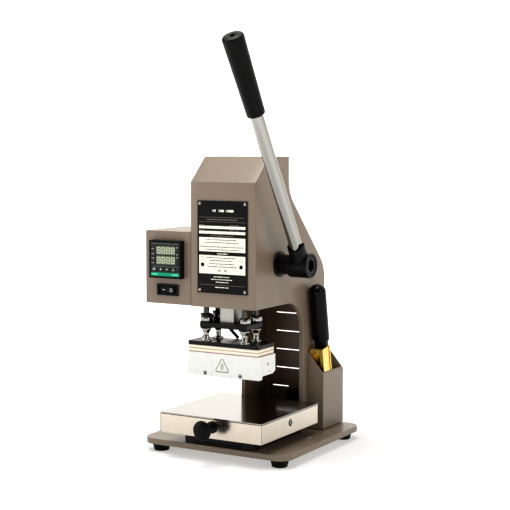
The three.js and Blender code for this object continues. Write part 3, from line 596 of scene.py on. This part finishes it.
def tube(piece, look, points, radius, sides=12, steps=12):
    """A round wire through points, along a smooth curve."""
    route = []
    ends = [points[0]] + points + [points[-1]]
    for a, b, c, d in zip(ends, ends[1:], ends[2:], ends[3:]):
        a, b, c, d = Vector(a), Vector(b), Vector(c), Vector(d)
        for i in range(steps):
            t = i / steps
            route.append(0.5 * (2 * b + (c - a) * t + (2 * a - 5 * b + 4 * c - d) * t ** 2
                                + (3 * b - a - 3 * c + d) * t ** 3))
    route.append(Vector(points[-1]))
    rings = []
    side = Vector((0, 0, 1)).cross(route[1] - route[0]).normalized()
    for i, point in enumerate(route):
        along = (route[min(i + 1, len(route) - 1)] - route[max(i - 1, 0)]).normalized()
        side = (side - along * side.dot(along)).normalized()
        up = along.cross(side)
        angles = [2 * math.pi * k / sides for k in range(sides)]
        rings.append([point + (side * math.cos(a) + up * math.sin(a)) * radius for a in angles])
    piece.faces(rings, look)


# ---------------------------------------------------------------- head skin
def make_head_skin():
    """The painted front of the head: the sheets are welded and ground flush, so no seam shows."""
    low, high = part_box("front_cover")
    left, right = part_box("left_side_plate")[0].x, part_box("right_side_plate")[1].x
    bend = Vector((low.y, 346 * MM))
    ridge = Vector((low.y + 33 * MM, high.z))
    corner = 0.9 * MM
    proud = 0.08 * MM
    path = [Vector((low.y, low.z + 0.1 * MM)), bend, ridge, Vector((high.y, high.z))]
    line, outward = [], []
    for i, point in enumerate(path):
        before = (point - path[i - 1]).normalized() if i else None
        after = (path[i + 1] - point).normalized() if i + 1 < len(path) else None
        if before is None or after is None:
            way = after or before
            line.append(point)
            outward.append(Vector((-way.y, way.x)))
            continue
        reach = 2.4 * MM
        for t in (0, 0.25, 0.5, 0.75, 1):
            start, end = point - before * reach, point + after * reach
            line.append(start * (1 - t) ** 2 + point * 2 * t * (1 - t) + end * t ** 2)
            way = (before * (1 - t) + after * t).normalized()
            outward.append(Vector((-way.y, way.x)))
    across = [(left + corner - (corner + proud) * math.cos(a), (corner + proud) * math.sin(a) - corner)
              for a in QUARTER]
    across += [(left + 15 * MM, proud), ((left + right) / 2, proud), (right - 15 * MM, proud)]
    across += [(right - corner + (corner + proud) * math.sin(a), (corner + proud) * math.cos(a) - corner)
               for a in QUARTER]
    skin = Piece("head_front_skin", "frame", TAUPE)
    rings = []
    for point, out in zip(line, outward):
        rings.append([Vector((x, point.x + out.x * h, point.y + out.y * h)) for x, h in across])
    rows = [[skin.mesh.verts.new(p) for p in ring] for ring in rings]
    for lower, upper in zip(rows, rows[1:]):
        for i in range(len(lower) - 1):
            skin.mesh.faces.new((lower[i], lower[i + 1], upper[i + 1], upper[i]))
    skin.done("taupe_paint", smooth=60)


# ---------------------------------------------------------------- lever
def make_lever():
    hub = centre("lever_shaft")
    hub.x = centre("lever_rod").x
    along = Vector((0, -math.sin(LEVER_LEAN), math.cos(LEVER_LEAN)))
    axis = pointing(hub, along)
    rod = Piece("chromed_lever_rod", "lever", CHROME)
    rod.turned([
        (7.2, 13.6), (ROD_RADIUS, 14.4), (ROD_RADIUS, 200), (ROD_RADIUS, ROD_TOP - 0.8), (7.4, ROD_TOP),
    ], CHROME, axis, 96)
    rod.done("bright_chrome", "lever_rod")

    grip = Piece("moulded_grip", "lever", GRIP)
    start, end = GRIP_START, GRIP_END
    length = end - start
    lower = [(8.3, start + 1.2), (8.6, start + 0.3), (9.2, start)]
    heel = [(10.3 + 0.9 * math.sin(a), start + 1.5 * (1 - math.cos(a))) for a in QUARTER]
    body = [(11.2 + 1.9 * (i / 14) ** 1.1, start + 1.6 + (length - 6) * i / 14) for i in range(1, 15)]
    rim = [(13.1 - 2.4 * (1 - math.cos(a)), end - 4.4 + 3.6 * math.sin(a)) for a in QUARTER[1:]]
    cup = [
        (10.3, end - 0.7), (9.9, end - 0.45), (4.2, end - 0.3),
        (3.4, end - 0.7), (3.2, end - 2), (3.2, end - 9),
    ]
    grip.turned(lower + heel + body + rim + cup, GRIP, axis, 96)
    grip.done("grip_rubber", "lever_grip")


# ---------------------------------------------------------------- feet, knob and table screw
def make_feet():
    for name in ("foot_front_left", "foot_front_right", "foot_back_left", "foot_back_right"):
        place = Matrix.Translation((centre(name).x, centre(name).y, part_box(name)[0].z))
        foot = Piece("rubber_" + name, "frame", RUBBER, STEEL)
        foot.turned([
            (5.2, 3.4), (5.2, 0.9), (5.8, 0.25), (8.9, 0), (9.5, 0.3), (9.8, 1.0), (10.4, 4.2), (11.6, 7.6),
            (12.4, 8.6), (12.6, 9.4), (12.4, 10.0), (11.8, 10.2),
        ], RUBBER, place, 72)
        foot.turned([
            (4.6, 3.2), (4.6, 1.8), (3.9, 1.1), (2.4, 0.9), (2.2, 0.95), (2.2, 2.4),
        ], STEEL, place, 48)
        foot.done("foot_rubber", name)


def make_table_knob():
    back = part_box("table_knob")[1].y
    place = pointing((centre("table_knob").x, back, centre("table_knob").z), (0, -1, 0))
    knob = Piece("turned_table_knob", "table", PLASTIC)
    face = [(12.4 - 1.5 * (1 - math.cos(a)), 22.6 + 1.6 * math.sin(a)) for a in QUARTER]
    knob.turned([
        (7.5, 0), (7.5, 1.4), (7.0, 1.9), (5.6, 2.5), (5.2, 4), (5.2, 8), (5.7, 10.5), (7.0, 13.2),
        (9.0, 16.4), (11.0, 19.6), (12.1, 21.3), *face, (8.5, 25.1), (5, 25.7), (1.5, 26), (0.1, 26),
    ], PLASTIC, place, 80)
    knob.done("black_plastic", "table_knob")


def socket_head(piece, look, dark, place, radius, height, socket):
    """A round screw head with a hexagon socket, standing on its place. The sizes are in millimetres."""
    piece.turned([
        (radius, 0), (radius, height * 0.55), (radius * 0.9, height * 0.9), (radius * 0.72, height),
        (socket * 1.12, height, "hex"), (socket, height - 0.12, "hex"), (socket, height * 0.25, "hex"),
    ], look, place, 48)
    # Painted shade: a disc in the dark finish at the floor of the hex socket.
    piece.turned([
        (socket * 0.98, height * 0.2, "hex"), (socket * 0.98, height * 0.27, "hex"),
    ], dark, place, 48)


def make_table_screw():
    low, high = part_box("table_pan")
    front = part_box("front_cover")[0].y
    for name, x, way in (("right", high.x, 1), ("left", low.x, -1)):
        screw = Piece("table_side_screw_" + name, "table", CHROME, BLACK)
        place = pointing((x, front + 43 * MM, low.z + 14.4 * MM), (way, 0, 0))
        screw.turned([(4.3, -0.05), (4.3, 0.35), (4.0, 0.5)], BLACK, place, 48)
        seat = pointing(place @ Vector((0, 0, 0.4 * MM)), (way, 0, 0))
        socket_head(screw, CHROME, BLACK, seat, radius=3.25, height=0.95, socket=1.5)
        screw.done("bright_chrome")


def make_table_joints():
    """The dark joint under the table's lid and the seams of its folded front corners."""
    low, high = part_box("table_pan")
    joint = 0.5 * MM
    seam = 0.25 * MM
    lines = Piece("table_joints", "table", SEAM)
    for (x0, y0), (x1, y1) in (((low.x, low.y), (high.x, low.y)), ((high.x, low.y), (high.x, high.y)),
                               ((low.x, low.y), (low.x, high.y)), ((low.x, high.y), (high.x, high.y))):
        lines.block(SEAM, (x0 - PRINT, y0 - PRINT, high.z - joint), (x1 + PRINT, y1 + PRINT, high.z))
    for x in (low.x, high.x):
        lines.block(SEAM, (x - seam, low.y - PRINT, low.z + 0.4 * MM), (x + PRINT, low.y + seam, high.z))
    lines.done("stainless")


# ---------------------------------------------------------------- heated head
def thread(radius, low, high, pitch=1.25):
    """The profile of a metric thread, as rings, with a chamfered end."""
    depth = 0.55 * pitch
    points = []
    z = low
    while z < high - 1.6:
        points += [(radius - depth, z), (radius, z + pitch * 0.5)]
        z += pitch
    return points + [(radius - depth, high - 0.9), (radius - 0.9, high)]


def hex_nut(half_flats, low, high):
    """A chamfered hexagon nut's profile."""
    return [
        (half_flats * 0.6, low), (half_flats * 0.98, low), (half_flats, low + 0.7, "hex"),
        (half_flats, high - 0.8, "hex"), (half_flats * 0.97, high), (half_flats * 0.62, high),
        (half_flats * 0.6, high - 0.6),
    ]


def make_level_bolts():
    yoke_low, yoke_high = (corner.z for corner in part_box("yoke_plate"))
    under, over = yoke_low / MM, yoke_high / MM
    for name in ("front_left", "front_right", "back_left", "back_right"):
        node = "level_bolt_" + name
        low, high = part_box(node)
        foot = Matrix.Translation((centre(node).x, centre(node).y, 0))
        base, end = low.z / MM, high.z / MM
        bolt = Piece("levelling_stud_" + name, "ram", CHROME, BLACK)
        bolt.turned([
            (6.4, base), (6.4, base + 1.5), (6.0, base + 2.0), (3.7, base + 2.2), (3.5, base + 2.6),
            (3.5, under - 7.4), (3.9, under - 7.0), (4.1, under - 6.4), (6.2, under - 3.2),
            (6.4, under - 2.6), (6.2, under - 1.6),
        ], CHROME, foot)
        bolt.turned([
            (7.3, under - 1.6), (7.5, under - 1.3), (7.5, under - 0.5), (7.3, under - 0.1),
        ], BLACK, foot)
        bolt.turned(thread(4, under - 1.8, end), CHROME, foot)
        bolt.turned([
            (7.6, over + 0.1), (7.8, over + 0.3), (7.8, over + 1.2), (7.5, over + 1.5),
        ], BLACK, foot)
        bolt.turned(hex_nut(NUT_HALF_FLATS, over + 1.5, over + 7.4), CHROME, foot)
        if name.endswith("left"):
            bolt.turned(hex_nut(NUT_HALF_FLATS, over + 7.7, over + 11.2), BLACK, foot)
        else:
            bolt.turned([
                (5.4, over + 7.5), (5.6, over + 7.7), (5.6, over + 8.6), (5.4, over + 8.8),
            ], BLACK, foot)
        bolt.done("bright_chrome", node)


def make_clamp_screws():
    for side in ("left", "right"):
        node = "clamp_screw_" + side
        low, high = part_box(node)
        place = pointing((centre(node).x, high.y, centre(node).z), (0, -1, 0))
        length = (high.y - low.y) / MM
        screw = Piece("clamp_set_screw_" + side, "ram", STEEL, BLACK)
        screw.turned([
            (1.6, 0), (2.2, 0.6), (2.3, 1), (2.3, length - 0.5), (1.9, length), (1.3, length, "hex"),
            (1.25, length - 0.15, "hex"), (1.25, length - 2, "hex"),
        ], STEEL, place, 48)
        # Painted shade: a black disc at the floor of the hex socket.
        screw.turned([(1.24, length - 2, "hex"), (1.24, length - 1.9, "hex")], BLACK, place, 48)
        screw.done("ground_steel", node)


def rounded_triangle(width, height, radius, steps=8):
    """An upright triangle with round corners, its base's middle at the origin."""
    slope = math.degrees(math.atan2(height, width / 2))
    inset = radius / math.tan(math.radians(slope / 2))
    apex = radius / math.cos(math.radians(slope))
    left = arc(-width / 2 + inset, radius, radius, 90 + slope, 270, steps)
    right = arc(width / 2 - inset, radius, radius, -90, 90 - slope, steps)
    return left + right + arc(0, height - apex, radius, 90 - slope, 90 + slope, steps)


def make_heater_marks():
    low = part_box("heater_front_plate")[0]
    block_low, block_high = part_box("heater_block")
    sign = Piece("heater_sign", "ram", SIGN_GREY, SIGN_PALE)
    place = facing_front(centre("heater_block").x - 0.6 * MM, low.y, low.z + 6.0 * MM)
    outer = rounded_triangle(22.4 * MM, 19.2 * MM, 2.1 * MM)
    inner = [(x, y + 1.25 * MM) for x, y in rounded_triangle(18.6 * MM, 16.0 * MM, 1.1 * MM)]
    sign.band(SIGN_GREY, outer, inner, place)
    bar = arc(0, 9.4 * MM, 2.1 * MM, 0, 180, 12) + arc(0, 5.2 * MM, 2.1 * MM, 180, 360, 12)
    sign.flat(SIGN_PALE, bar, place)
    sign.done("white_enamel")

    # Painted shade: a flat black mark on the block's side stands for a slot, whose inside lies in shade.
    slot = Piece("heater_side_slot_painted_shade", "ram", BLACK)
    x = block_high.x
    y, z, half, thick = 17.1, 4.2, 1.9, 0.35
    slot.block(BLACK, (x - PRINT, block_low.y + (y - half) * MM, block_low.z + (z - thick) * MM),
               (x + PRINT, block_low.y + (y + half) * MM, block_low.z + (z + thick) * MM))
    slot.done("lead_sleeve")


def make_wires():
    """Three short wires from a terminal on the yoke, apart as they rise into the hollow head."""
    front, back = centre("level_bolt_front_left"), centre("level_bolt_back_left")
    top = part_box("yoke_plate")[1].z
    spot = Vector((front.x + 1.5 * MM, (front.y + back.y) / 2 - 2 * MM, top))
    place = Matrix.Translation(spot)
    wires = Piece("yoke_wires", "ram", SLEEVE, STEEL, BLACK)
    wires.turned([(4.2, 0.0), (4.4, 0.2), (4.4, 1.2), (4.0, 1.5)], STEEL, place, 40)
    wires.turned([(3.2, 1.5), (3.3, 1.8, "hex"), (3.3, 4.2, "hex"), (3.0, 4.6)], STEEL, place, 48)
    wires.turned([(1.7, 4.6), (1.7, 8), (1.2, 8.5)], BLACK, place, 32)
    routes = (
        ((-3.6, -1.5, 3), (-6.2, -3, 9), (-6.6, -3, 17), (-4.4, -2, 27), (-3, 2, 56)),
        ((3.4, 1, 3), (7.2, 2, 8), (7.6, 2, 17), (4.8, 2, 27), (4, 6, 56)),
        ((0.5, 3.4, 3), (1.8, 6, 8), (1.2, 7, 17), (0.8, 8, 27), (1, 10, 56)),
    )
    for route in routes:
        tube(wires, SLEEVE, [spot + Vector(p) * MM for p in route], 1.15 * MM)
    wires.done("lead_sleeve")


def make_springs():
    """The ram's two return springs, standing on the lower guide. The real ones squash as the ram comes down;
    these keep the length of their CAD nodes.
    """
    wire = SPRING_WIRE / 2
    steps_per_turn, sides = 28, 10
    upright = Vector((0, 0, 1))
    angles = [2 * math.pi * k / sides for k in range(sides)]
    for side in ("left", "right"):
        node = "return_spring_" + side
        low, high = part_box(node)
        foot = Vector((centre(node).x, centre(node).y, low.z))
        coil = (high.x - low.x) / 2 - wire
        rise = high.z - low.z - 2 * wire
        steps = SPRING_TURNS * steps_per_turn
        rings = []
        for i in range(steps + 1):
            a = 2 * math.pi * SPRING_TURNS * i / steps
            out = Vector((math.cos(a), math.sin(a), 0))
            middle = foot + out * coil + Vector((0, 0, wire + rise * i / steps))
            rings.append([middle + (out * math.cos(b) + upright * math.sin(b)) * wire for b in angles])
        spring = Piece("wound_spring_" + side, "frame", STEEL)
        spring.faces(rings, STEEL)
        made = spring.done("ground_steel", node)
        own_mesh(made)


# ---------------------------------------------------------------- name plate
def text_line(piece, look, place, x0, x1, y, height, dice):
    """A line of print that can't be read: a row of short bars, like words, centred on a height."""
    x = x0
    while x < x1 - 0.8:
        word = min(dice.uniform(1.6, 5.2), x1 - x)
        outline = rectangle(x * MM, (x + word) * MM, (y - height / 2) * MM, (y + height / 2) * MM)
        piece.flat(look, outline, place)
        x += word + 0.9


def make_name_plate_print():
    low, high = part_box("name_plate")
    place = facing_front(low.x, low.y, high.z)
    dice = random.Random(7)
    sheet = Piece("name_plate_print", "frame", CREAM, LABEL_GREY, LABEL_RULE)

    def panel(x0, x1, top, bottom, look=CREAM, height=PRINT):
        sheet.flat(look, rectangle(x0 * MM, x1 * MM, -bottom * MM, -top * MM), place, height)

    emblem = [(22, 4.6), (31, 7.5), (41.5, 11)]
    for x, width in emblem:
        sheet.flat(CREAM, disc((x + 1.5) * MM, -12.3 * MM, 1.5 * MM), place)
        panel(x + 1.5, x + width, 10.9, 13.7)
    for top in (20.2, 25.8, 104.2):
        panel(2.6, 69.4, top, top + 0.5, LABEL_RULE)
    text_line(sheet, LABEL_RULE, place, 14, 58, -23.2, 1.5, dice)
    for y in (29.9, 36.3):
        text_line(sheet, LABEL_RULE, place, 2.6, 10.5, -y, 0.9, dice)
        text_line(sheet, LABEL_RULE, place, 47, 60, -y, 0.9, dice)
    panel(2.6, 69.4, 31.1, 34.6)
    panel(2.6, 69.4, 37.5, 41.0)
    text_line(sheet, LABEL_RULE, place, 19, 52, -43.4, 1.1, dice)
    panel(2.6, 69.4, 45.4, 63.0)
    for y, x0, x1 in ((48.3, 14, 57), (51.7, 11, 60), (57.0, 4, 67), (60.4, 12, 61)):
        text_line(sheet, LABEL_GREY, place, x0, x1, -y, 0.9, dice)
    text_line(sheet, CREAM, place, 29, 44, -65.4, 1.1, dice)
    panel(2.6, 69.4, 67.6, 90.6)
    for y, x0, x1 in ((70.6, 14, 57), (74.0, 19, 52), (78.0, 18, 54), (81.6, 15, 58)):
        text_line(sheet, LABEL_GREY, place, x0, x1, -y, 0.9, dice)
    for x, y in ((7.4, 71.5), (63.6, 72.4)):
        ring = disc(x * MM, -y * MM, 2.2 * MM)
        hollow = disc(x * MM, -y * MM, 1.8 * MM)
        sheet.band(LABEL_GREY, ring, hollow, place)
    for x, y in ((7.6, 79.6), (63.4, 80.8)):
        sheet.flat(LABEL_RULE, disc(x * MM, -y * MM, 2.5 * MM), place)
    for x in (30.5, 39.0):
        panel(x, x + 3.6, 85.2, 87.4, LABEL_GREY, PRINT * 1.3)
    for y, x0, x1 in ((94.2, 24, 47), (97.5, 20, 52), (100.8, 27, 45)):
        text_line(sheet, CREAM, place, x0, x1, -y, 1.1, dice)
    text_line(sheet, CREAM, place, 26, 46, -107.2, 1.1, dice)
    sheet.done("label_black")

    rivets = Piece("name_plate_rivets", "frame", CHROME)
    for x in (low.x + 3.4 * MM, high.x - 3.4 * MM):
        for z in (low.z + 3.6 * MM, high.z - 3.6 * MM):
            head = facing_front(x, low.y, z)
            dome = [(2.0 * math.cos(a), 0.9 * math.sin(a)) for a in QUARTER[:-1]]
            rivets.turned([(2.0, -0.1), *dome, (0.05, 0.9)], CHROME, head, 32)
    rivets.done("bright_chrome")


# ---------------------------------------------------------------- controller
def digit(piece, place, x, y, width, height):
    """A figure with all seven segments lit, its lower left corner at (x, y), in millimetres."""
    t = width * 0.17
    half = height / 2
    left, right = (x, x + t), (x + width - t, x + width)
    across = (x + t, x + width - t)
    upper, lower = (y + half + t / 3, y + height - t / 3), (y + t / 3, y + half - t / 3)
    bars = (
        (*across, y + height - t, y + height), (*right, *upper), (*right, *lower), (*across, y, y + t),
        (*left, *lower), (*left, *upper), (*across, y + half - t / 2, y + half + t / 2),
    )
    for bar in bars:
        piece.flat(DIGIT, rectangle(*(v * MM for v in bar)), place)


def make_display():
    case_low, case_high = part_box("controller_case")
    low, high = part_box("display_window")
    display = Piece("two_row_display", "frame", FACE, WINDOW, DIGIT)
    display.block(FACE, low, high)
    for top, bottom in ((7.4, 17.9), (19.8, 30.3)):
        pane = facing_front(case_low.x, low.y - 0.1 * MM, case_high.z)
        display.flat(WINDOW, rectangle(10.9 * MM, 39.4 * MM, -bottom * MM, -top * MM), pane, 0.1 * MM)
        front = facing_front(case_low.x, low.y - 0.22 * MM, case_high.z)
        for i in range(4):
            digit(display, front, 11.9 + 7.1 * i, -bottom + 1.3, 5.4, bottom - top - 2.6)
    display.done("display_lens", "display_window")


def make_controller_marks():
    case_low, case_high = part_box("controller_case")
    face_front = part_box("controller_face")[0].y
    place = facing_front(case_low.x, face_front, case_high.z)
    marks = Piece("controller_marks", "frame", FACE_LINE, STRIPE, STRIPE_PALE, SYMBOL)

    def mark(look, x0, x1, top, bottom, height=PRINT):
        marks.flat(look, rectangle(x0 * MM, x1 * MM, -bottom * MM, -top * MM), place, height)

    mark(FACE_LINE, 3.0, 45.0, 4.0, 4.35)
    mark(FACE_LINE, 5.5, 45.0, 33.0, 33.3)
    mark(STRIPE, 2.6, 45.4, 40.9, 45.2)
    mark(STRIPE_PALE, 4.0, 12.6, 42.2, 43.9, PRINT * 1.4)
    mark(STRIPE_PALE, 34.6, 43.6, 42.2, 43.9, PRINT * 1.4)
    for y in (11, 17.3, 23, 29):
        marks.flat(SYMBOL, disc(6.2 * MM, -y * MM, 0.75 * MM), place)
        mark(FACE_LINE, 3.4, 4.9, y - 0.4, y + 0.4)
    for y in (8.6, 17.2, 21.2):
        marks.flat(SYMBOL, disc(41.8 * MM, -y * MM, 0.7 * MM), place)
        mark(FACE_LINE, 43.0, 44.6, y - 0.35, y + 0.35)
    marks.done("face_black")

    triangle = ((-1.5, -1.1), (1.5, -1.1), (0, 1.4))
    turns = {"key_2": 90, "key_3": 180, "key_4": 0}
    for key in ("key_1", "key_2", "key_3", "key_4"):
        spot = facing_front(centre(key).x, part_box(key)[0].y, centre(key).z)
        symbol = Piece(key + "_symbol", key, SYMBOL)
        if key in turns:
            a = math.radians(turns[key])
            outline = [((x * math.cos(a) - y * math.sin(a)) * MM, (x * math.sin(a) + y * math.cos(a)) * MM)
                       for x, y in triangle]
            symbol.flat(SYMBOL, outline, spot)
        else:
            for y in (-0.8, 0.8):
                symbol.flat(SYMBOL, rectangle(-2.2 * MM, 2.2 * MM, (y - 0.45) * MM, (y + 0.45) * MM), spot)
        symbol.done("face_black")


def make_switch_marks():
    """A bar and a ring on the rocker's two slopes, which meet in its middle."""
    joint = next(j for j in frame["joints"] if j["name"] == "rocker_tilt")
    pivot = Matrix.Translation(joint["pos_m"]) @ Matrix.Rotation(ROCKER_TILT, 4, "Z")
    run, rise = 11.4, 2.0
    slope = math.atan2(rise, run)
    marks = Piece("rocker_marks", "rocker", SYMBOL)
    for side in (-1, 1):
        middle = Matrix.Translation((side * 6.2 * MM, (-0.9 - rise * 6.2 / run) * MM, 0))
        spot = pivot @ middle @ Matrix.Rotation(-side * slope, 4, "Z") @ facing_front(0, 0, 0)
        if side < 0:
            marks.flat(SYMBOL, rectangle(-1.9 * MM, 1.9 * MM, -0.6 * MM, 0.6 * MM), spot)
        else:
            marks.band(SYMBOL, disc(0, 0, 2.4 * MM), disc(0, 0, 1.5 * MM), spot)
    marks.done("black_plastic")


# ---------------------------------------------------------------- type holder and inlet
def make_holder():
    low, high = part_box("type_holder_body")
    foot = Vector((centre("type_holder_body").x, high.y - HOLDER_DEPTH * math.cos(HOLDER_LEAN),
                   low.z + HOLDER_DEPTH * math.sin(HOLDER_LEAN)))
    tool = Matrix.Translation(foot) @ Matrix.Rotation(HOLDER_LEAN, 4, "X")
    stem = tool @ Matrix.Translation((0, HOLDER_DEPTH - 5.6 * MM, HOLDER_LENGTH))
    handle = Piece("domed_holder_handle", "type_holder", GLOSSY_PLASTIC)
    handle.turned([
        (4, -11), (4, 0.3), (8.9, 0.3), (9.2, 0.8), (9.4, 6.4), (9.7, 7), (10.2, 7.4), (10.8, 7.9), (11.1, 9),
        (11.2, 12), (11.2, 40), (11.1, 74), (10.9, 76.4), (10.3, 78.2), (9.2, 79.9), (7.6, 81.6), (5.6, 83),
        (3.4, 83.8), (1.4, 84), (0.1, 84),
    ], GLOSSY_PLASTIC, stem, 72)
    handle.done("black_plastic", "type_holder_handle")
    half_width = (high.x - low.x) / 2
    screws = Piece("type_holder_screws", "type_holder", STEEL, BLACK)
    for z in (24, 66):
        spot = tool @ Matrix.Translation((half_width, -6 * MM, z * MM)) @ Matrix.Rotation(math.pi / 2, 4, "Y")
        screws.turned([(2.6, -0.05), (2.6, 0.5), (2.1, 0.95), (1.2, 1.15), (0.1, 1.2)], STEEL, spot, 40)
        # Painted shade: the cross recess of each head is a black cross standing on the dome.
        for x0, x1, y0, y1 in ((-1.7, 1.7, -0.25, 0.25), (-0.25, 0.25, -1.7, 1.7)):
            screws.block(BLACK, (x0 * MM, y0 * MM, 0.9 * MM), (x1 * MM, y1 * MM, 1.24 * MM), spot)
    screws.done("ground_steel")


def make_inlet_pins():
    pins = Piece("inlet_pins", "frame", STEEL)
    middle = centre("power_inlet")
    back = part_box("power_inlet")[1].y
    for x, z in ((-7, -2), (7, -2), (0, 2)):
        pins.block(STEEL, (middle.x + (x - 1) * MM, back - 16 * MM, middle.z + (z - 2) * MM),
                   (middle.x + (x + 1) * MM, back - 4 * MM, middle.z + (z + 2) * MM))
    pins.done("ground_steel")


make_camera()
make_studio()
dress_frame()
dress_mechanism()
make_head_skin()
make_lever()
make_feet()
make_table_knob()
make_table_screw()
make_table_joints()
make_level_bolts()
make_clamp_screws()
make_heater_marks()
make_wires()
make_springs()
make_name_plate_print()
make_display()
make_controller_marks()
make_switch_marks()
make_holder()
make_inlet_pins()

bpy.context.scene.view_settings.view_transform = "Standard"
bpy.context.scene.view_settings.look = "High Contrast"
